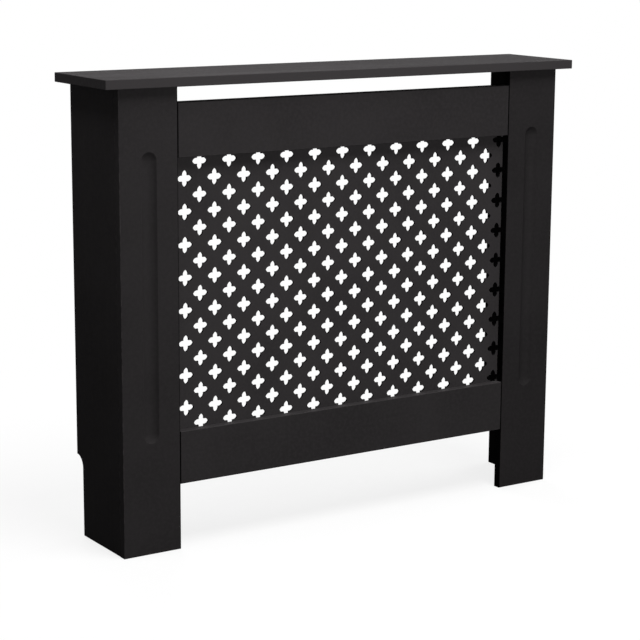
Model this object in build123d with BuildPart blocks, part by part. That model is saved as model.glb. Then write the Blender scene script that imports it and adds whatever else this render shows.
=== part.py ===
from build123d import *
import math
import os

# Radiator cover cabinet. Millimetres. +X runs to the right as the cover is seen from the room,
# +Y from the room towards the wall, +Z up. The origin is on the floor, under the middle of the shelf.

# ---- Outline of the cover ----
cover_height = 815.0
shelf_width = 975.0
shelf_depth = 190.0
shelf_thickness = 16.0
shelf_side_overhang = 28.5
shelf_front_overhang = 13.0
shelf_edge_radius = 1.0

# ---- Front frame: two full-height boards with a rail at the top and at the bottom ----
board_thickness = 15.0
board_width = 110.0
rail_height = 93.0
vent_gap = 26.0          # air slot between the shelf and the top rail
floor_gap = 116.5        # air slot between the floor and the bottom rail
board_edge_radius = 1.0

# ---- Cove flute routed down each front board ----
flute_width = 29.0
flute_depth = 6.5
flute_above_floor = 196.0
flute_below_shelf = 106.0

# ---- Side panels, notched at the foot for a skirting board ----
side_thickness = 15.0
notch_height = 145.0
notch_depth = 22.0
notch_radius = 21.0

# ---- Perforated grille, screwed to the backs of the rails and boards ----
grille_thickness = 4.0
grille_side_lap = 27.0
grille_top_lap = 40.0
grille_bottom_lap = 45.0
hole_size = 28.6         # from lobe tip to lobe tip
hole_waist = 10.2        # across the flats where two lobes meet
hole_bulge = 2.0         # rise of each lobe flank's arc
hole_pitch_x = 58.0      # between columns of the same row height
hole_pitch_z = 56.7
first_column_inset = 21.0
first_row_drop = 37.5
hole_edge_web = 6.0      # least solid edge left round the pattern

# ---- Cam fittings: a steel pin in one board, held by a cam disc let into the next ----
cam_setback = 34.0       # from the joint face to the cam's axis
cam_radius = 7.4
cam_bore_clearance = 0.1
cam_recess = 0.2         # the cam sits this far below the panel's face
cam_floor = 1.2          # metal left under the cam's chamber
cam_play = 0.3           # between the pin and the inside of the cam
cam_turn = 180.0         # from locked to free
cam_slit_overrun = 32.0
cam_drive_length = 6.4
cam_drive_width = 1.3
cam_drive_depth = 1.8
pin_thread_radius = 3.0
pin_thread_length = 10.0
pin_shank_radius = 3.5
pin_neck_radius = 2.0
pin_head_radius = 3.3
pin_head_reach = 3.0     # from the cam's axis to the widest rim of the pin's head
pin_head_tail = 1.6      # from the cam's axis to the end of the pin
pin_bore_clearance = 0.4

# ---- Wood dowels ----
dowel_radius = 4.0
dowel_length = 30.0
dowel_face_depth = 10.0  # part of a corner dowel that stands in a board's face
rail_dowel_length = 40.0
rail_dowel_spacing = 50.0
dowel_chamfer = 0.8
dowel_end_space = 1.0

# ---- Places of the fittings ----
shelf_cam_inset = 50.0
shelf_dowel_inset = 20.0
front_cam_foot = 120.0
front_cam_head = 99.0
front_dowel_foot = 265.0
front_dowel_head = 244.0

# ---- Screws and wall brackets ----
screw_radius = 1.75
screw_length = 12.0
screw_head_radius = 3.6
screw_head_height = 2.0
screw_crown_radius = 2.2
screw_crown_rise = 0.45  # bulge of the head's rounded side
screw_tip_length = 2.5
screw_drive_length = 3.8
screw_drive_width = 0.9
screw_drive_depth = 1.1
screw_hole_clearance = 0.3
screw_edge_inset = 14.0
screw_side_inset = 10.0
screw_column_step = 4
bracket_leg = 30.0
bracket_width = 20.0
bracket_thickness = 2.0
bracket_bend_radius = 2.0
bracket_drop = 54.0
bracket_wall_hole_radius = 2.5
bracket_wall_hole_inset = 18.0
bracket_screw_insets = (9.0, 22.0)
bracket_corner_radius = 3.0

fixing_clearance = 0.05  # radial, round threads and glued dowels

# ---- Faces and edges that the pieces share ----
shelf_under_z = cover_height - shelf_thickness
front_y = -shelf_depth / 2 + shelf_front_overhang
board_back_y = front_y + board_thickness
wall_y = shelf_depth / 2
outer_x = shelf_width / 2 - shelf_side_overhang
side_inner_x = outer_x - side_thickness
side_middle_x = outer_x - side_thickness / 2
opening_x = outer_x - board_width
board_middle_x = outer_x - board_width / 2
board_middle_y = front_y + board_thickness / 2
top_rail_top_z = shelf_under_z - vent_gap
top_rail_under_z = top_rail_top_z - rail_height
bottom_rail_top_z = floor_gap + rail_height
grille_edge_x = opening_x + grille_side_lap
grille_top_z = top_rail_under_z + grille_top_lap
grille_bottom_z = bottom_rail_top_z - grille_bottom_lap
grille_back_y = board_back_y + grille_thickness

sides = (("left", -1), ("right", 1))


def front_plane(y):
    """Upright plane across the cover: local x is +X, local y is +Z, and it faces the room."""
    return Plane(origin=(0, y, 0), x_dir=(1, 0, 0), z_dir=(0, -1, 0))


def on_both_sides(values):
    """(x, value) pairs on the middle lines of the left and right side panels."""
    return [(side * side_middle_x, value) for _, side in sides for value in values]


def evenly(low, high, count):
    """count places from low to high, both included."""
    return [low + (high - low) * i / (count - 1) for i in range(count)]


# ---- Places of the cams, pins and dowels, the same for both side panels: (y, z) ----
shelf_cam_ys = (board_back_y + shelf_cam_inset, wall_y - shelf_cam_inset)
shelf_dowel_ys = (board_back_y + shelf_dowel_inset, wall_y - shelf_dowel_inset)
shelf_cam_z = shelf_under_z - cam_setback
front_cam_y = board_back_y + cam_setback
front_cam_zs = evenly(front_cam_foot, shelf_under_z - front_cam_head, 3)
front_dowel_zs = evenly(front_dowel_foot, shelf_under_z - front_dowel_head, 2)
rail_middle_zs = (floor_gap + rail_height / 2, top_rail_top_z - rail_height / 2)
bracket_z = shelf_under_z - bracket_drop
cam_points = [(y, shelf_cam_z) for y in shelf_cam_ys] + [(front_cam_y, z) for z in front_cam_zs]
bracket_screw_points = [(wall_y - inset, bracket_z) for inset in bracket_screw_insets]
rail_dowel_zs = [z + up * rail_dowel_spacing / 2 for z in rail_middle_zs for up in (-1, 1)]

cam_bore_radius = cam_radius + cam_bore_clearance
chamber_radius = math.hypot(pin_head_reach, pin_head_radius) + cam_play
chamber_half_height = pin_head_radius + cam_play
cam_bottom = side_thickness / 2 + chamber_half_height + cam_floor
cam_bore_depth = cam_bottom + cam_play
pin_bore_radius = pin_shank_radius + pin_bore_clearance
dowel_hole_radius = dowel_radius + fixing_clearance
pilot_radius = screw_radius + fixing_clearance
screw_hole_radius = screw_radius + screw_hole_clearance

# ---- Hole pattern of the grille: columns half a pitch apart, every other one shifted half a row ----
first_column_x = -opening_x + first_column_inset
first_row_z = top_rail_under_z - first_row_drop
pattern_low_z = grille_bottom_z + hole_edge_web + hole_size / 2
pattern_high_z = grille_top_z - hole_edge_web - hole_size / 2
last_column_x = grille_edge_x - hole_edge_web - hole_size / 2
column_count = 1 + int((last_column_x - first_column_x) / (hole_pitch_x / 2))
column_xs = [first_column_x + column * hole_pitch_x / 2 for column in range(column_count)]


def column_row_zs(column):
    """Heights of the holes in one column, from the lowest that fits to the highest."""
    start_z = first_row_z + (hole_pitch_z / 2 if column % 2 else 0)
    lowest = math.ceil((pattern_low_z - start_z) / hole_pitch_z)
    highest = math.floor((pattern_high_z - start_z) / hole_pitch_z)
    return [start_z + row * hole_pitch_z for row in range(lowest, highest + 1)]


grille_screw_xs = column_xs[1::screw_column_step]
grille_screw_points = [
    (x, z)
    for x in grille_screw_xs
    for z in (grille_bottom_z + screw_edge_inset, grille_top_z - screw_edge_inset)
] + [
    (side * (grille_edge_x - screw_side_inset), z)
    for side in (-1, 1)
    for z in evenly(bottom_rail_top_z, top_rail_under_z, 3)
]


def clear_of_screws(x, z):
    reach = hole_size / 2 + screw_head_radius
    return all(math.hypot(x - sx, z - sz) > reach for sx, sz in grille_screw_points)


hole_points = [
    (x, z) for column, x in enumerate(column_xs)
    for z in column_row_zs(column) if clear_of_screws(x, z)
]

os.makedirs("parts", exist_ok=True)

# ======== Panels and boards ========

# Top shelf: one flat board with eased edges, drilled underneath for pins and dowels
with BuildPart() as top_shelf:
    with BuildSketch(Plane.XY.offset(shelf_under_z)):
        Rectangle(shelf_width, shelf_depth)
    extrude(amount=shelf_thickness)
    fillet(top_shelf.edges(), radius=shelf_edge_radius)
    with BuildSketch(Plane.XY.offset(shelf_under_z)):
        with Locations(*on_both_sides(shelf_cam_ys)):
            Circle(pin_thread_radius + fixing_clearance)
    extrude(amount=pin_thread_length + dowel_end_space, mode=Mode.SUBTRACT)
    with BuildSketch(Plane.XY.offset(shelf_under_z)):
        with Locations(*on_both_sides(shelf_dowel_ys)):
            Circle(dowel_hole_radius)
    extrude(amount=dowel_face_depth + dowel_end_space, mode=Mode.SUBTRACT)
top_shelf.part.label = "top_shelf"
export_step(top_shelf.part, "parts/top_shelf.step")

# Side panels: upright boards behind the front boards, with the skirting notch at the back of the foot
for name, side in sides:
    inner_face = Plane.YZ.offset(side * side_inner_x)
    with BuildPart() as side_panel:
        with BuildSketch(inner_face):
            with BuildLine():
                Polyline(
                    (wall_y - notch_depth + notch_radius, notch_height),
                    (wall_y, notch_height),
                    (wall_y, shelf_under_z),
                    (board_back_y, shelf_under_z),
                    (board_back_y, 0),
                    (wall_y - notch_depth, 0),
                    (wall_y - notch_depth, notch_height - notch_radius),
                )
                RadiusArc(
                    (wall_y - notch_depth, notch_height - notch_radius),
                    (wall_y - notch_depth + notch_radius, notch_height),
                    notch_radius,
                )
            make_face()
        extrude(amount=side * side_thickness)
        outer_face = side_panel.faces().sort_by(Axis.X)[-1 if side > 0 else 0]
        fillet(outer_face.edges(), radius=board_edge_radius)
        # cam bores in the inner face
        with BuildSketch(inner_face):
            with Locations(*cam_points):
                Circle(cam_bore_radius)
        extrude(amount=side * cam_bore_depth, mode=Mode.SUBTRACT)
        # pin bores from the top and front edges, in to the cams
        with BuildSketch(Plane.XY.offset(shelf_under_z)):
            with Locations(*[(side * side_middle_x, y) for y in shelf_cam_ys]):
                Circle(pin_bore_radius)
        extrude(amount=-cam_setback, mode=Mode.SUBTRACT)
        with BuildSketch(front_plane(board_back_y)):
            with Locations(*[(side * side_middle_x, z) for z in front_cam_zs]):
                Circle(pin_bore_radius)
        extrude(amount=-cam_setback, mode=Mode.SUBTRACT)
        # dowel holes in the same edges
        with BuildSketch(Plane.XY.offset(shelf_under_z)):
            with Locations(*[(side * side_middle_x, y) for y in shelf_dowel_ys]):
                Circle(dowel_hole_radius)
        extrude(amount=-(dowel_length - dowel_face_depth + dowel_end_space), mode=Mode.SUBTRACT)
        with BuildSketch(front_plane(board_back_y)):
            with Locations(*[(side * side_middle_x, z) for z in front_dowel_zs]):
                Circle(dowel_hole_radius)
        extrude(amount=-(dowel_length - dowel_face_depth + dowel_end_space), mode=Mode.SUBTRACT)
        # pilot holes for the wall bracket
        with BuildSketch(inner_face):
            with Locations(*bracket_screw_points):
                Circle(pilot_radius)
        extrude(amount=side * screw_length, mode=Mode.SUBTRACT)
    side_panel.part.label = f"{name}_side_panel"
    export_step(side_panel.part, f"parts/{name}_side_panel.step")

# Front boards: floor to shelf, each with a round-ended cove flute cut by a large ball cutter
cutter_radius = (flute_width ** 2 / 4 + flute_depth ** 2) / (2 * flute_depth)
cutter_y = front_y + flute_depth - cutter_radius
flute_low_z = flute_above_floor + flute_width / 2
flute_high_z = shelf_under_z - flute_below_shelf - flute_width / 2
for name, side in sides:
    with BuildPart() as front_board:
        with BuildSketch(front_plane(front_y)):
            with Locations((side * board_middle_x, shelf_under_z / 2)):
                Rectangle(board_width, shelf_under_z)
        extrude(amount=-board_thickness)
        fillet(front_board.faces().sort_by(Axis.Y)[0].edges(), radius=board_edge_radius)
        with Locations((side * board_middle_x, cutter_y, (flute_low_z + flute_high_z) / 2)):
            Cylinder(cutter_radius, flute_high_z - flute_low_z, mode=Mode.SUBTRACT)
        with Locations(*[(side * board_middle_x, cutter_y, z) for z in (flute_low_z, flute_high_z)]):
            Sphere(cutter_radius, mode=Mode.SUBTRACT)
        # holes in the back face for the cam pins, the corner dowels and the grille's screws
        with BuildSketch(front_plane(board_back_y)):
            with Locations(*[(side * side_middle_x, z) for z in front_cam_zs]):
                Circle(pin_thread_radius + fixing_clearance)
        extrude(amount=pin_thread_length + dowel_end_space, mode=Mode.SUBTRACT)
        with BuildSketch(front_plane(board_back_y)):
            with Locations(*[(side * side_middle_x, z) for z in front_dowel_zs]):
                Circle(dowel_hole_radius)
        extrude(amount=dowel_face_depth + dowel_end_space, mode=Mode.SUBTRACT)
        with BuildSketch(front_plane(board_back_y)):
            with Locations(*[(x, z) for x, z in grille_screw_points if side * x > opening_x]):
                Circle(pilot_radius)
        extrude(amount=screw_length - grille_thickness, mode=Mode.SUBTRACT)
        # dowel holes in the inner edge for the rails
        with BuildSketch(Plane.YZ.offset(side * opening_x)):
            with Locations(*[(board_middle_y, z) for z in rail_dowel_zs]):
                Circle(dowel_hole_radius)
        extrude(amount=side * (rail_dowel_length / 2 + dowel_end_space), mode=Mode.SUBTRACT)
    front_board.part.label = f"{name}_front_board"
    export_step(front_board.part, f"parts/{name}_front_board.step")

# Rails: flush with the front boards and butted between them
for name, middle_z in zip(("bottom", "top"), rail_middle_zs):
    with BuildPart() as rail:
        with BuildSketch(front_plane(front_y)):
            with Locations((0, middle_z)):
                Rectangle(2 * opening_x, rail_height)
        extrude(amount=-board_thickness)
        fillet(rail.faces().sort_by(Axis.Y)[0].edges(), radius=board_edge_radius)
        for side in (-1, 1):
            with BuildSketch(Plane.YZ.offset(side * opening_x)):
                with Locations(*[(board_middle_y, middle_z + up * rail_dowel_spacing / 2) for up in (-1, 1)]):
                    Circle(dowel_hole_radius)
            extrude(amount=-side * (rail_dowel_length / 2 + dowel_end_space), mode=Mode.SUBTRACT)
        with BuildSketch(front_plane(board_back_y)):
            with Locations(*[
                (x, z) for x, z in grille_screw_points
                if abs(x) < opening_x and abs(z - middle_z) < rail_height / 2
            ]):
                Circle(pilot_radius)
        extrude(amount=screw_length - grille_thickness, mode=Mode.SUBTRACT)
    rail.part.label = f"{name}_rail"
    export_step(rail.part, f"parts/{name}_rail.step")

# Outline of one grille hole: four lobes, each with two arched flanks that meet in a point
with BuildSketch() as hole_outline:
    with BuildLine():
        half_waist = hole_waist / 2
        tip = hole_size / 2
        for turn in (0, 90, 180, 270):
            before = Vector(half_waist, -half_waist).rotate(Axis.Z, turn)
            point = Vector(tip, 0).rotate(Axis.Z, turn)
            after = Vector(half_waist, half_waist).rotate(Axis.Z, turn)
            SagittaArc(before, point, -hole_bulge)
            SagittaArc(point, after, -hole_bulge)
    make_face()

# Grille: a thin sheet punched with the staggered pattern
with BuildPart() as grille_panel:
    with BuildSketch(front_plane(board_back_y)):
        with Locations((0, (grille_bottom_z + grille_top_z) / 2)):
            Rectangle(2 * grille_edge_x, grille_top_z - grille_bottom_z)
        with Locations(*hole_points):
            add(hole_outline.sketch, mode=Mode.SUBTRACT)
        with Locations(*grille_screw_points):
            Circle(screw_hole_radius, mode=Mode.SUBTRACT)
    extrude(amount=-grille_thickness)
grille_panel.part.label = "grille_panel"
export_step(grille_panel.part, "parts/grille_panel.step")

# ======== Cam fittings ========

# Cam pin: local +Z points from the board it is screwed into towards the cam
neck_start = cam_setback - cam_radius - 2 * cam_play
cone_start = cam_setback - chamber_radius + cam_play
rim_start = cam_setback - pin_head_reach
with BuildPart() as cam_pin:
    with BuildSketch(Plane.XZ):
        with BuildLine():
            Polyline(
                (0, -pin_thread_length),
                (pin_thread_radius, -pin_thread_length),
                (pin_thread_radius, 0),
                (pin_shank_radius, 0),
                (pin_shank_radius, neck_start),
                (pin_neck_radius, neck_start),
                (pin_neck_radius, cone_start),
                (pin_head_radius, rim_start),
                (pin_head_radius, cam_setback + pin_head_tail),
                (0, cam_setback + pin_head_tail),
                close=True,
            )
        make_face()
    revolve(axis=Axis.Z)

with BuildPart() as shelf_cam_pins:
    with Locations(*[
        Plane(origin=(x, y, shelf_under_z), z_dir=(0, 0, -1)) for x, y in on_both_sides(shelf_cam_ys)
    ]):
        add(cam_pin.part)
shelf_cam_pins.part.label = "shelf_cam_pins"
export_step(shelf_cam_pins.part, "parts/shelf_cam_pins.step")

with BuildPart() as front_cam_pins:
    with Locations(*[
        Plane(origin=(x, board_back_y, z), z_dir=(0, 1, 0)) for x, z in on_both_sides(front_cam_zs)
    ]):
        add(cam_pin.part)
front_cam_pins.part.label = "front_cam_pins"
export_step(front_cam_pins.part, "parts/front_cam_pins.step")

# Cam disc: local z = 0 is the panel's face and +Z the open side; +X points at the pin when it is locked.
# A chamber holds the pin's head, a slit lets its neck pass, and a round mouth at -X lets the head out.
with BuildPart() as cam_disc:
    with BuildSketch(Plane.XY.offset(-cam_bottom)):
        Circle(cam_radius)
    extrude(amount=cam_bottom - cam_recess)
    with BuildSketch(Plane.XY.offset(-side_thickness / 2 - chamber_half_height)):
        Circle(chamber_radius)
    extrude(amount=2 * chamber_half_height, mode=Mode.SUBTRACT)
    with BuildSketch(Plane.XZ):
        with Locations((-cam_radius, -side_thickness / 2)):
            Rectangle(2 * (cam_radius - chamber_radius + cam_play), 2 * (pin_neck_radius + cam_play))
    revolve(axis=Axis.Z, revolution_arc=cam_turn + cam_slit_overrun, mode=Mode.SUBTRACT)
    with BuildSketch(Plane.YZ):
        with Locations((0, -side_thickness / 2)):
            Circle(chamber_half_height)
    extrude(amount=-2 * cam_radius, mode=Mode.SUBTRACT)
    with BuildSketch(Plane.XY.offset(-cam_recess)):
        Rectangle(cam_drive_length, cam_drive_width)
        Rectangle(cam_drive_width, cam_drive_length)
    extrude(amount=-cam_drive_depth, mode=Mode.SUBTRACT)

# One disc for each bore: (place, centre of the bore, direction of its pin), the same on both sides
cam_places = [
    (f"shelf_cam_{place}", (y, shelf_cam_z), (0, 0, 1)) for place, y in zip(("front", "back"), shelf_cam_ys)
] + [
    (f"board_cam_{place}", (front_cam_y, z), (0, -1, 0))
    for place, z in zip(("bottom", "middle", "top"), front_cam_zs)
]
for name, side in sides:
    for place, (y, z), towards_pin in cam_places:
        bore_plane = Plane(origin=(side * side_inner_x, y, z), x_dir=towards_pin, z_dir=(-side, 0, 0))
        with BuildPart() as placed_cam:
            with Locations(bore_plane):
                add(cam_disc.part)
        placed_cam.part.label = f"{name}_{place}"
        export_step(placed_cam.part, f"parts/{name}_{place}.step")

# ======== Wood dowels ========


def dowel_group(planes, length, seat):
    """Dowels of one length along each plane's normal, each starting seat below its plane."""
    with BuildPart() as group:
        with BuildSketch(*[plane.offset(-seat) for plane in planes]):
            Circle(dowel_radius)
        extrude(amount=length)
        chamfer(group.edges(), length=dowel_chamfer)
    return group


shelf_dowels = dowel_group(
    [Plane(origin=(x, y, shelf_under_z)) for x, y in on_both_sides(shelf_dowel_ys)],
    dowel_length, dowel_length - dowel_face_depth,
)
shelf_dowels.part.label = "shelf_dowels"
export_step(shelf_dowels.part, "parts/shelf_dowels.step")

front_board_dowels = dowel_group(
    [Plane(origin=(x, board_back_y, z), z_dir=(0, -1, 0)) for x, z in on_both_sides(front_dowel_zs)],
    dowel_length, dowel_length - dowel_face_depth,
)
front_board_dowels.part.label = "front_board_dowels"
export_step(front_board_dowels.part, "parts/front_board_dowels.step")

rail_dowels = dowel_group(
    [
        Plane(origin=(side * opening_x, board_middle_y, z), z_dir=(1, 0, 0))
        for _, side in sides for z in rail_dowel_zs
    ],
    rail_dowel_length, rail_dowel_length / 2,
)
rail_dowels.part.label = "rail_dowels"
export_step(rail_dowels.part, "parts/rail_dowels.step")

# ======== Screws and wall brackets ========

# Pan-head screw: local z = 0 is the seat under the head, +Z the head's side
with BuildPart() as screw:
    with BuildSketch(Plane.XZ):
        with BuildLine():
            Polyline(
                (0, screw_head_height),
                (0, -screw_length),
                (screw_radius, screw_tip_length - screw_length),
                (screw_radius, 0),
                (screw_head_radius, 0),
            )
            Line((screw_crown_radius, screw_head_height), (0, screw_head_height))
            SagittaArc((screw_head_radius, 0), (screw_crown_radius, screw_head_height), -screw_crown_rise)
        make_face()
    revolve(axis=Axis.Z)
    with BuildSketch(Plane.XY.offset(screw_head_height)):
        Rectangle(screw_drive_length, screw_drive_width)
        Rectangle(screw_drive_width, screw_drive_length)
    extrude(amount=-screw_drive_depth, mode=Mode.SUBTRACT)

with BuildPart() as grille_screws:
    with Locations(*[Plane(origin=(x, grille_back_y, z), z_dir=(0, 1, 0)) for x, z in grille_screw_points]):
        add(screw.part)
grille_screws.part.label = "grille_screws"
export_step(grille_screws.part, "parts/grille_screws.step")

bracket_inner_x = side_inner_x - bracket_thickness
with BuildPart() as bracket_screws:
    with Locations(*[
        Plane(origin=(side * bracket_inner_x, wall_y - inset, bracket_z), z_dir=(-side, 0, 0))
        for _, side in sides for inset in bracket_screw_insets
    ]):
        add(screw.part)
bracket_screws.part.label = "bracket_screws"
export_step(bracket_screws.part, "parts/bracket_screws.step")

# Wall brackets: folded steel angles in the corner of side panel and wall
for name, side in sides:
    with BuildPart() as wall_bracket:
        with BuildSketch(Plane.XY.offset(bracket_z - bracket_width / 2)):
            with BuildLine():
                Polyline(
                    (side * (side_inner_x - bracket_leg), wall_y),
                    (side * side_inner_x, wall_y),
                    (side * side_inner_x, wall_y - bracket_leg),
                    (side * bracket_inner_x, wall_y - bracket_leg),
                    (side * bracket_inner_x, wall_y - bracket_thickness),
                    (side * (side_inner_x - bracket_leg), wall_y - bracket_thickness),
                    close=True,
                )
            make_face()
        extrude(amount=bracket_width)
        upright_edges = wall_bracket.edges().filter_by(Axis.Z)
        fillet(upright_edges.sort_by_distance((side * side_inner_x, wall_y, bracket_z))[0],
               radius=bracket_bend_radius + bracket_thickness)
        upright_edges = wall_bracket.edges().filter_by(Axis.Z)
        inner_corner = (side * bracket_inner_x, wall_y - bracket_thickness, bracket_z)
        fillet(upright_edges.sort_by_distance(inner_corner)[0], radius=bracket_bend_radius)
        for leg_axis in (Axis.X, Axis.Y):
            end_corners = wall_bracket.edges().filter_by(leg_axis).group_by(SortBy.LENGTH)[0]
            fillet(end_corners, radius=bracket_corner_radius)
        with BuildSketch(Plane.YZ.offset(side * side_inner_x)):
            with Locations(*bracket_screw_points):
                Circle(screw_hole_radius)
        extrude(amount=-side * bracket_thickness, mode=Mode.SUBTRACT)
        with BuildSketch(front_plane(wall_y)):
            with Locations((side * (side_inner_x - bracket_wall_hole_inset), bracket_z)):
                Circle(bracket_wall_hole_radius)
        extrude(amount=bracket_thickness, mode=Mode.SUBTRACT)
    wall_bracket.part.label = f"{name}_wall_bracket"
    export_step(wall_bracket.part, f"parts/{name}_wall_bracket.step")
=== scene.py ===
import math

import bpy
from mathutils import Matrix, Vector


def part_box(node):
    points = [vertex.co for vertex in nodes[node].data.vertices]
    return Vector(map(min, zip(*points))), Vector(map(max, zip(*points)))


# A black radiator cover on a white floor. Lengths are in metres, in the row frame:
# +X right as seen from the room, +Y towards the wall, +Z up.

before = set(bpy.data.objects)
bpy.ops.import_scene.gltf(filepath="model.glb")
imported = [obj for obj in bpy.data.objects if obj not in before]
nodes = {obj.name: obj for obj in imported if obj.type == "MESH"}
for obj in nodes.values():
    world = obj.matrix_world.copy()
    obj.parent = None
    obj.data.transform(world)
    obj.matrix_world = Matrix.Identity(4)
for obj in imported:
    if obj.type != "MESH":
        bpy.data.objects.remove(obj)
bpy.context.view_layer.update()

# The camera stands to the left of the cover, in the room, a little above its shelf.
CAMERA_PLACE = Vector((-1.908, -2.9055, 1.072))
CAMERA_YAW = 0.5783       # from +Y towards +X, in radians
CAMERA_PITCH = 0.204      # below the horizon
CAMERA_ROLL = 0.0066
SENSOR_WIDTH = 36.0       # mm
PHOTO_WIDTH = 640.0       # px
FOCAL_PX = 1942.0
CLIP_END = 100.0

# How light each board's paint is, as a multiple of PAINT_BLACKS and PAINT_MOTTLE. Part of each
# board's tone stands in for the photo's light.
BOARD_TONES = {"top_shelf": 1.48, "left_side_panel": 1.0, "right_side_panel": 1.0,
               "left_front_board": 1.08, "right_front_board": 0.94,
               "top_rail": 1.17, "bottom_rail": 1.22}

# Faces of a board's box, as (axis, 0 for the low end or 1 for the high one).
X, Y, Z = range(3)
# Inner faces, painted darker as shade.
INNER_SHADE_FACES = {"top_shelf": [(Z, 0)], "left_side_panel": [(X, 1)],
               "left_front_board": [(Y, 1)], "right_front_board": [(Y, 1)],
               "top_rail": [(Y, 1), (Z, 0)], "bottom_rail": [(Y, 1), (Z, 0)]}
# The right panel's inner face, painted almost black as shade.
SHADED_FACES = {"right_side_panel": [(X, 0)]}
# The bottom rail's ledge and the shelf's front edge, painted lighter as light falls on them.
LIT_LEDGE_FACES = {"bottom_rail": [(Z, 1)], "top_shelf": [(Y, 0)]}
# Joint faces, the front boards' inner edges and the top rail's top face, painted near black as shade.
JOINT_SHADE_FACES = {"left_front_board": [(X, 1)], "right_front_board": [(X, 0)],
               "top_rail": [(X, 0), (X, 1), (Z, 1)], "bottom_rail": [(X, 0), (X, 1)]}

# Linear levels of the boards' paint: the cloudy ground's darkest and lightest, then the mottle and
# the rubbed edges, whose lighter level is partly wear and partly a painted highlight.
PAINT_BLACKS = (0.0175, 0.0215)
PAINT_MOTTLE = 0.027
PAINT_WORN_AND_HIGHLIGHT = 0.06
GRILLE_BLACKS = (0.026, 0.032)
GRILLE_MOTTLE = 0.038
# The holes' walls, painted near black as shade.
HOLE_WALL_SHADE = 0.0008

# The painted light and shade of single faces, as (faces, how deep under the face the tone ends,
# level). Inner faces are painted darker as shade. The right panel's inner face, seen through the
# grille, is painted almost black as shade. The bottom rail's ledge and the shelf's front edge are
# painted lighter, as light that falls on them. Faces at a joint, the front boards' inner edges and
# the top rail's top face under the shelf are painted near black as shade.
FACE_LIGHT_AND_SHADE = ((INNER_SHADE_FACES, 0.0008, 0.015), (SHADED_FACES, 0.0008, 0.004),
              (LIT_LEDGE_FACES, 0.0015, 0.0375), (JOINT_SHADE_FACES, 0.0020, 0.0015))

# Specular levels. They are low because the paint is nearly matt, and the white backdrop would
# show in it at a flat angle.
SHELF_GLOSS = 0.0025
PAINT_GLOSS = 0.006

WORLD_LIGHT = 0.02        # what the backdrop adds to matt surfaces
FLOOR_HALF = 20.0
FLOOR_DROP = 0.0005       # keeps the floor clear of the feet's faces
FLOOR_PALE = (0.90, 0.93)
FLOOR_THROWN = 0.10       # how pale the floor is to the light that it throws back
FLOOR_FADE = (0.45, 1.3)  # where the floor starts to run out, and where it has
FLOOR_FADED = (0.8, 1.0)  # the backdrop's share in the floor at those places


class Graph:
    """The node tree of one material or of the world, written a call at a time."""

    def __init__(self, owner):
        owner.use_nodes = True
        self.tree = owner.node_tree
        self.tree.nodes.clear()

    def node(self, kind, **settings):
        made = self.tree.nodes.new(kind)
        for name, value in settings.items():
            setattr(made, name, value)
        return made

    def feed(self, socket, value):
        """Links an output socket into an input, or writes a plain value on it."""
        if isinstance(value, bpy.types.NodeSocket):
            self.tree.links.new(value, socket)
        else:
            socket.default_value = value

    def place(self):
        """The point's place in the row frame."""
        return self.node("ShaderNodeTexCoord").outputs["Object"]

    def stretched(self, scale):
        """The point's place, scaled along each axis."""
        mapping = self.node("ShaderNodeMapping")
        self.feed(mapping.inputs["Vector"], self.place())
        mapping.inputs["Scale"].default_value = scale
        return mapping.outputs["Vector"]

    def noise(self, scale, detail=2.0, roughness=0.5, vector=None):
        made = self.node("ShaderNodeTexNoise")
        self.feed(made.inputs["Vector"], vector or self.place())
        made.inputs["Scale"].default_value = scale
        made.inputs["Detail"].default_value = detail
        made.inputs["Roughness"].default_value = roughness
        return made.outputs["Fac"]

    def spread(self, value, low, high, to_low=0.0, to_high=1.0, smooth=True):
        """value from low to high, carried to the range from to_low to to_high."""
        made = self.node("ShaderNodeMapRange")
        made.interpolation_type = "SMOOTHSTEP" if smooth else "LINEAR"
        self.feed(made.inputs["Value"], value)
        for name, number in (("From Min", low), ("From Max", high),
                             ("To Min", to_low), ("To Max", to_high)):
            made.inputs[name].default_value = number
        return made.outputs["Result"]

    def maths(self, operation, first, second=0.0):
        made = self.node("ShaderNodeMath", operation=operation)
        self.feed(made.inputs[0], first)
        self.feed(made.inputs[1], second)
        return made.outputs["Value"]

    def vector_maths(self, operation, first, second):
        made = self.node("ShaderNodeVectorMath", operation=operation)
        self.feed(made.inputs[0], first)
        self.feed(made.inputs[1], second)
        return made.outputs["Vector"]

    def between(self, factor, first, second):
        """The colour first where factor is 0, and second where it is 1."""
        made = self.node("ShaderNodeMix", data_type="RGBA")
        self.feed(made.inputs["Factor"], factor)
        self.feed(made.inputs["A"], first)
        self.feed(made.inputs["B"], second)
        return made.outputs["Result"]

    def bump(self, height, distance, strength=1.0, onto=None):
        made = self.node("ShaderNodeBump")
        self.feed(made.inputs["Height"], height)
        made.inputs["Distance"].default_value = distance
        made.inputs["Strength"].default_value = strength
        if onto is not None:
            self.feed(made.inputs["Normal"], onto)
        return made.outputs["Normal"]

    def surface(self, colour, roughness, normal, metallic=0.0, specular=0.5):
        shader = self.node("ShaderNodeBsdfPrincipled")
        self.feed(shader.inputs["Base Color"], colour)
        self.feed(shader.inputs["Roughness"], roughness)
        self.feed(shader.inputs["Normal"], normal)
        shader.inputs["Metallic"].default_value = metallic
        shader.inputs["Specular IOR Level"].default_value = specular
        out = self.node("ShaderNodeOutputMaterial")
        self.feed(out.inputs["Surface"], shader.outputs["BSDF"])


def grey(level, warmth=0.0):
    """A linear grey, with a little more red and less blue where warmth is above 0."""
    return (level * (1 + warmth), level, level * (1 - warmth), 1.0)


def plum(level):
    """The paint's black, which leans a little towards red and blue."""
    return (level * 1.05, level * 0.97, level, 1.0)


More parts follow.
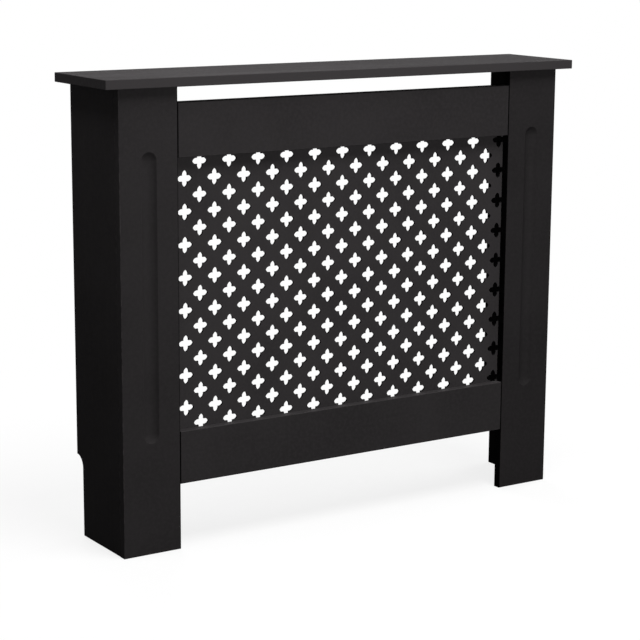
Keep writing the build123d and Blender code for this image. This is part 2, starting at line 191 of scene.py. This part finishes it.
def face_distances(graph, node):
    """How far a point is from the faces of the node's box: from the low x, y, z, then from the high."""
    low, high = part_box(node)
    inward = (graph.vector_maths("SUBTRACT", graph.place(), tuple(low)),
              graph.vector_maths("SUBTRACT", tuple(high), graph.place()))
    splits = [graph.node("ShaderNodeSeparateXYZ") for _ in inward]
    for split, vector in zip(splits, inward):
        graph.feed(split.inputs["Vector"], vector)
    return [list(split.outputs) for split in splits]


def edge_distance(graph, distances):
    """How far a point on a board's face is from the nearest edge of the board's box."""
    x, y, z = [graph.maths("MINIMUM", *pair) for pair in zip(*distances)]
    total = graph.maths("ADD", graph.maths("ADD", x, y), z)
    largest = graph.maths("MAXIMUM", graph.maths("MAXIMUM", x, y), z)
    smallest = graph.maths("MINIMUM", graph.maths("MINIMUM", x, y), z)
    return graph.maths("SUBTRACT", graph.maths("SUBTRACT", total, largest), smallest)


def on_faces(graph, distances, faces, reach):
    """1 on the listed faces of the box, falling to 0 at reach from them."""
    found = 0.0
    for axis, end in faces:
        near = graph.spread(distances[end][axis], reach * 0.3, reach, 1.0, 0.0)
        found = graph.maths("MAXIMUM", found, near)
    return found


def painted_board(node, tone, gloss):
    """Sprayed black paint on fibreboard: a fine stipple, faint sanding lanes, and rubbed edges lighter
    partly from wear and partly as a painted highlight; single faces get painted light and shade.
    """
    low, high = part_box(node)
    size = high - low
    along = max(range(3), key=lambda axis: size[axis])
    lanes = [140.0, 140.0, 140.0]
    lanes[along] = 3.0
    material = bpy.data.materials.new("paint_" + node)
    graph = Graph(material)
    cloud = graph.noise(5.0, detail=3.0)
    mottle = graph.noise(160.0, detail=2.0)
    lane = graph.noise(1.0, detail=2.0, vector=graph.stretched(lanes))
    stipple = graph.noise(1100.0, detail=2.0, roughness=0.6)
    rubbed = graph.noise(90.0, detail=3.0)
    distances = face_distances(graph, node)
    ragged = graph.maths("ADD", edge_distance(graph, distances),
                         graph.spread(rubbed, 0.3, 0.7, 0.0, 0.0014))
    worn_and_highlit = graph.spread(ragged, 0.0004, 0.0020, 1.0, 0.0)
    dark, light = [plum(tone * level) for level in PAINT_BLACKS]
    colour = graph.between(graph.spread(cloud, 0.3, 0.7), dark, light)
    colour = graph.between(graph.spread(mottle, 0.35, 0.7, 0.0, 0.35), colour, plum(tone * PAINT_MOTTLE))
    # The rubbed edges' lighter paint is partly wear and partly a painted highlight along the edges.
    colour = graph.between(graph.maths("MULTIPLY", worn_and_highlit, 0.45), colour, plum(PAINT_WORN_AND_HIGHLIGHT))
    # Light and shade painted on single faces.
    for faces, reach, level in FACE_LIGHT_AND_SHADE:
        share = on_faces(graph, distances, faces.get(node, ()), reach)
        colour = graph.between(share, colour, plum(level))
    rough = graph.maths("ADD", graph.spread(lane, 0.3, 0.7, 0.44, 0.52),
                        graph.spread(mottle, 0.3, 0.7, -0.03, 0.05))
    rough = graph.maths("ADD", rough, graph.maths("MULTIPLY", worn_and_highlit, -0.08))
    normal = graph.bump(lane, 0.00003)
    normal = graph.bump(stipple, 0.00007, onto=normal)
    graph.surface(colour, rough, normal, specular=gloss)
    return material


def painted_grille():
    """The same paint on the thin punched sheet, slightly wavy, with its holes' cut edges painted near black
    as shade.
    """
    material = bpy.data.materials.new("paint_grille")
    graph = Graph(material)
    cloud = graph.noise(7.0, detail=3.0)
    mottle = graph.noise(210.0, detail=2.0)
    stipple = graph.noise(1300.0, detail=2.0, roughness=0.6)
    wave = graph.noise(6.0, detail=1.0)
    dark, light = [plum(level) for level in GRILLE_BLACKS]
    colour = graph.between(graph.spread(cloud, 0.3, 0.7), dark, light)
    colour = graph.between(graph.spread(mottle, 0.35, 0.7, 0.0, 0.3), colour, plum(GRILLE_MOTTLE))
    front, back = [end[Y] for end in face_distances(graph, "grille_panel")]
    # The holes' walls are painted near black as shade.
    hole_wall_shade = graph.spread(graph.maths("MINIMUM", front, back), 0.00001, 0.00006)
    colour = graph.between(hole_wall_shade, colour, plum(HOLE_WALL_SHADE))
    rough = graph.spread(mottle, 0.3, 0.7, 0.46, 0.56)
    normal = graph.bump(wave, 0.0006)
    normal = graph.bump(stipple, 0.00006, onto=normal)
    graph.surface(colour, rough, normal, specular=PAINT_GLOSS)
    return material


def beech():
    """Turned beech: fine grain along the dowel and short dark flecks."""
    material = bpy.data.materials.new("beech")
    graph = Graph(material)
    grain = graph.noise(1.0, detail=4.0, vector=graph.stretched((700.0, 700.0, 60.0)))
    fleck = graph.noise(1.0, detail=1.0, vector=graph.stretched((1500.0, 1500.0, 300.0)))
    colour = graph.between(graph.spread(grain, 0.35, 0.65), (0.66, 0.47, 0.28, 1), (0.52, 0.34, 0.18, 1))
    colour = graph.between(graph.spread(fleck, 0.62, 0.75, 0.0, 0.6), colour, (0.30, 0.17, 0.08, 1))
    rough = graph.spread(grain, 0.3, 0.7, 0.55, 0.75)
    graph.surface(colour, rough, graph.bump(grain, 0.00015), specular=0.4)
    return material


def plated_steel(name, level, warmth, rough, patch=90.0):
    """Zinc plate: mottled patches of slightly different shine over fine drawing lines."""
    material = bpy.data.materials.new(name)
    graph = Graph(material)
    patches = graph.noise(patch, detail=3.0, roughness=0.6)
    lines = graph.noise(1.0, detail=2.0, vector=graph.stretched((2600.0, 2600.0, 120.0)))
    colour = graph.between(graph.spread(patches, 0.3, 0.7), grey(level * 0.86, warmth), grey(level, warmth))
    shine = graph.maths("ADD", graph.spread(patches, 0.3, 0.7, rough, rough + 0.12),
                        graph.spread(lines, 0.3, 0.7, -0.03, 0.04))
    graph.surface(colour, shine, graph.bump(lines, 0.00002), metallic=1.0)
    return material


def cast_zinc():
    """Matt die-cast zinc: a grainy skin with darker hollows."""
    material = bpy.data.materials.new("cast_zinc")
    graph = Graph(material)
    grain = graph.noise(1900.0, detail=3.0, roughness=0.65)
    stain = graph.noise(260.0, detail=2.0)
    colour = graph.between(graph.spread(stain, 0.3, 0.7), (0.36, 0.37, 0.39, 1), (0.50, 0.51, 0.53, 1))
    rough = graph.spread(grain, 0.3, 0.7, 0.42, 0.58)
    graph.surface(colour, rough, graph.bump(grain, 0.00008), metallic=1.0)
    return material


def dress(name, material):
    """Gives a CAD node its finish."""
    slots = nodes[name].data.materials
    slots.clear()
    slots.append(material)


def dress_all():
    for name, tone in BOARD_TONES.items():
        dress(name, painted_board(name, tone, SHELF_GLOSS if name == "top_shelf" else PAINT_GLOSS))
    dress("grille_panel", painted_grille())
    wood = beech()
    for name in ("shelf_dowels", "front_board_dowels", "rail_dowels"):
        dress(name, wood)
    pin = plated_steel("pin_steel", 0.62, 0.01, 0.26)
    for name in ("shelf_cam_pins", "front_cam_pins"):
        dress(name, pin)
    screw = plated_steel("screw_steel", 0.58, 0.04, 0.30, patch=400.0)
    for name in ("grille_screws", "bracket_screws"):
        dress(name, screw)
    bracket = plated_steel("bracket_steel", 0.62, 0.0, 0.34)
    for name in ("left_wall_bracket", "right_wall_bracket"):
        dress(name, bracket)
    zinc = cast_zinc()
    for name in nodes:
        if "_cam_" in name and "pins" not in name:
            dress(name, zinc)


def make_camera():
    data = bpy.data.cameras.new("camera")
    data.sensor_width = SENSOR_WIDTH
    data.lens = FOCAL_PX / PHOTO_WIDTH * SENSOR_WIDTH
    data.clip_end = CLIP_END
    camera = bpy.data.objects.new("camera", data)
    bpy.context.scene.collection.objects.link(camera)
    level = math.cos(CAMERA_PITCH)
    forward = Vector((math.sin(CAMERA_YAW) * level, math.cos(CAMERA_YAW) * level, -math.sin(CAMERA_PITCH)))
    right = Vector((math.cos(CAMERA_YAW), -math.sin(CAMERA_YAW), 0.0))
    up = right.cross(forward)
    tilted_right = right * math.cos(CAMERA_ROLL) + up * math.sin(CAMERA_ROLL)
    tilted_up = tilted_right.cross(forward)
    turn = Matrix((tilted_right, tilted_up, -forward)).transposed()
    camera.matrix_world = Matrix.Translation(CAMERA_PLACE) @ turn.to_4x4()
    bpy.context.scene.camera = camera


def softbox(name, place, target, size, watts, mirrored=True):
    data = bpy.data.lights.new(name, "AREA")
    data.shape = "SQUARE"
    data.size = size
    data.energy = watts
    lamp = bpy.data.objects.new(name, data)
    lamp.visible_camera = False
    lamp.visible_glossy = mirrored
    bpy.context.scene.collection.objects.link(lamp)
    lamp.location = place
    lamp.rotation_mode = "QUATERNION"
    lamp.rotation_quaternion = (Vector(target) - Vector(place)).to_track_quat("-Z", "Y")


def light_studio():
    """Soft boxes all round. The fill ones don't mirror in the paint."""
    middle = (0.0, 0.0, 0.42)
    softbox("key", (0.0, -0.85, 2.3), middle, 1.0, 40.0)
    softbox("front", (0.0, -2.4, 0.45), middle, 1.2, 33.0)
    softbox("high_left", (-1.0, 0.05, 2.1), (-0.46, 0.05, 0.5), 0.6, 13.0)
    softbox("low_left", (-1.2, -0.1, 0.72), (-0.46, 0.0, 0.6), 0.4, 0.9, mirrored=False)
    softbox("right", (2.4, 0.3, 1.1), middle, 1.2, 30.0, mirrored=False)
    softbox("back", (0.5, 2.4, 0.8), middle, 1.5, 45.0, mirrored=False)


def seen_directly(graph):
    """1 for rays from the camera, mirrors and glass, and 0 for light that falls on things."""
    path = graph.node("ShaderNodeLightPath").outputs
    return graph.maths("MAXIMUM", path["Is Camera Ray"],
                       graph.maths("MAXIMUM", path["Is Glossy Ray"], path["Is Transmission Ray"]))


def make_world():
    """A white backdrop, and a weak even light from all round."""
    world = bpy.data.worlds.new("studio")
    bpy.context.scene.world = world
    graph = Graph(world)
    background = graph.node("ShaderNodeBackground")
    background.inputs["Color"].default_value = (1.0, 1.0, 1.0, 1.0)
    strength = graph.spread(seen_directly(graph), 0.0, 1.0, WORLD_LIGHT, 1.0)
    graph.feed(background.inputs["Strength"], strength)
    graph.feed(graph.node("ShaderNodeOutputWorld").inputs["Surface"], background.outputs["Background"])


def make_floor():
    """A floor, pale to the eye, that takes the cover's shadow and runs out into the white backdrop.

    It throws back less light than it shows, so that the cover's dark sides stay dark.
    """
    half = FLOOR_HALF
    corners = [(-half, -half, 0), (half, -half, 0), (half, half, 0), (-half, half, 0)]
    mesh = bpy.data.meshes.new("floor")
    mesh.from_pydata(corners, [], [(0, 1, 2, 3)])
    floor = bpy.data.objects.new("floor", mesh)
    bpy.context.scene.collection.objects.link(floor)
    floor.location.z = -FLOOR_DROP
    material = bpy.data.materials.new("floor")
    graph = Graph(material)
    far = graph.node("ShaderNodeVectorMath", operation="LENGTH")
    graph.feed(far.inputs[0], graph.place())
    away = graph.spread(far.outputs["Value"], *FLOOR_FADE, *FLOOR_FADED)
    to_camera = graph.node("ShaderNodeLightPath").outputs["Is Camera Ray"]
    matt = graph.node("ShaderNodeBsdfDiffuse")
    speckle = graph.noise(30.0, detail=4.0)
    pale = graph.between(speckle, *[grey(level) for level in FLOOR_PALE])
    graph.feed(matt.inputs["Color"], graph.between(to_camera, grey(FLOOR_THROWN), pale))
    white = graph.node("ShaderNodeEmission")
    white.inputs["Color"].default_value = (1.0, 1.0, 1.0, 1.0)
    blend = graph.node("ShaderNodeMixShader")
    graph.feed(blend.inputs["Fac"], graph.maths("MULTIPLY", away, to_camera))
    graph.feed(blend.inputs[1], matt.outputs["BSDF"])
    graph.feed(blend.inputs[2], white.outputs["Emission"])
    graph.feed(graph.node("ShaderNodeOutputMaterial").inputs["Surface"], blend.outputs["Shader"])
    mesh.materials.append(material)


make_camera()
dress_all()
make_world()
light_studio()
make_floor()
bpy.context.scene.view_settings.view_transform = "Standard"
